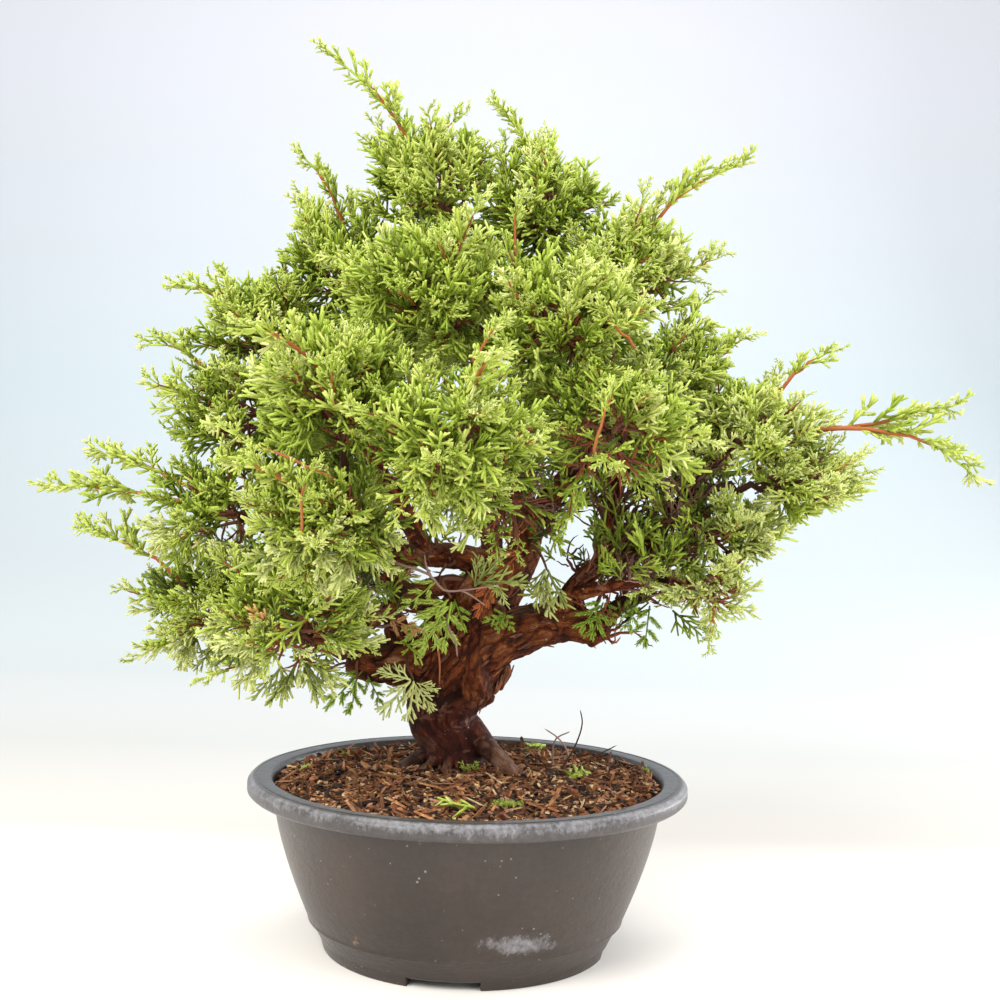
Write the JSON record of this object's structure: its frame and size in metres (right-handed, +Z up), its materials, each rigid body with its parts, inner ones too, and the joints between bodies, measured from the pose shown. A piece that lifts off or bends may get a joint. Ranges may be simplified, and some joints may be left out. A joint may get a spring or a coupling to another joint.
{
  "type": "itoigawa juniper bonsai in a round pot",
  "caption": "Itoigawa juniper bonsai with a stout forked trunk, layered green foliage and long new shoots, in a round plastic pot of gritty soil.",
  "frame": {"origin": "middle of the pot's flat underside, on the surface that the pot stands on", "axes": "+Z up from the underside, the tree's longest spread along X, its front towards -Y"},
  "size_m": [0.398, 0.316, 0.37],
  "materials": {
    "pot": "matte, finely grained, scuffed pale on the rim",
    "soil": "gritty mix of bark chips and pumice",
    "bark": "red-brown flaking bark",
    "foliage": "matte scale leaves, yellow-green at the tips"
  },
  "bodies": {
    "root": {"pot": "pot", "soil": "soil", "trunk": "bark", "bough_right": "bark", "bough_right_main": "bark", "bough_right_upright": "bark", "bough_right_rise": "bark", "bough_right_low": "bark", "bough_right_short": "bark", "bough_left_thick": "bark", "stub_left": "bark", "bough_left_low": "bark", "bough_left_arch": "bark", "bough_left_rise": "bark", "bough_front_left": "bark", "bough_front": "bark", "bough_front_right": "bark", "bough_front_upper": "bark", "bough_back_left": "bark", "bough_back": "bark", "bough_back_right": "bark", "bough_back_upper": "bark", "foliage_low_left": "foliage", "foliage_low_left_front": "foliage", "foliage_left": "foliage", "foliage_left_mid": "foliage", "foliage_left_upper": "foliage", "foliage_upper_left": "foliage", "foliage_top": "foliage", "foliage_top_right": "foliage", "foliage_upper_right": "foliage", "foliage_right_mid": "foliage", "foliage_right": "foliage", "foliage_right_far": "foliage", "foliage_right_low": "foliage", "foliage_right_lowest": "foliage", "foliage_front_upper": "foliage", "foliage_front_right_upper": "foliage", "foliage_front_left": "foliage", "foliage_front_centre": "foliage", "foliage_front_right": "foliage", "foliage_front_low_left": "foliage", "foliage_front_low": "foliage", "foliage_back_left": "foliage", "foliage_back_low": "foliage", "foliage_back_mid_left": "foliage", "foliage_back_mid_right": "foliage", "foliage_back_right": "foliage", "foliage_back_upper": "foliage", "foliage_back_upper_right": "foliage", "foliage_inner_top": "foliage", "foliage_tuft_left": "foliage"}
  },
  "joints": []
}
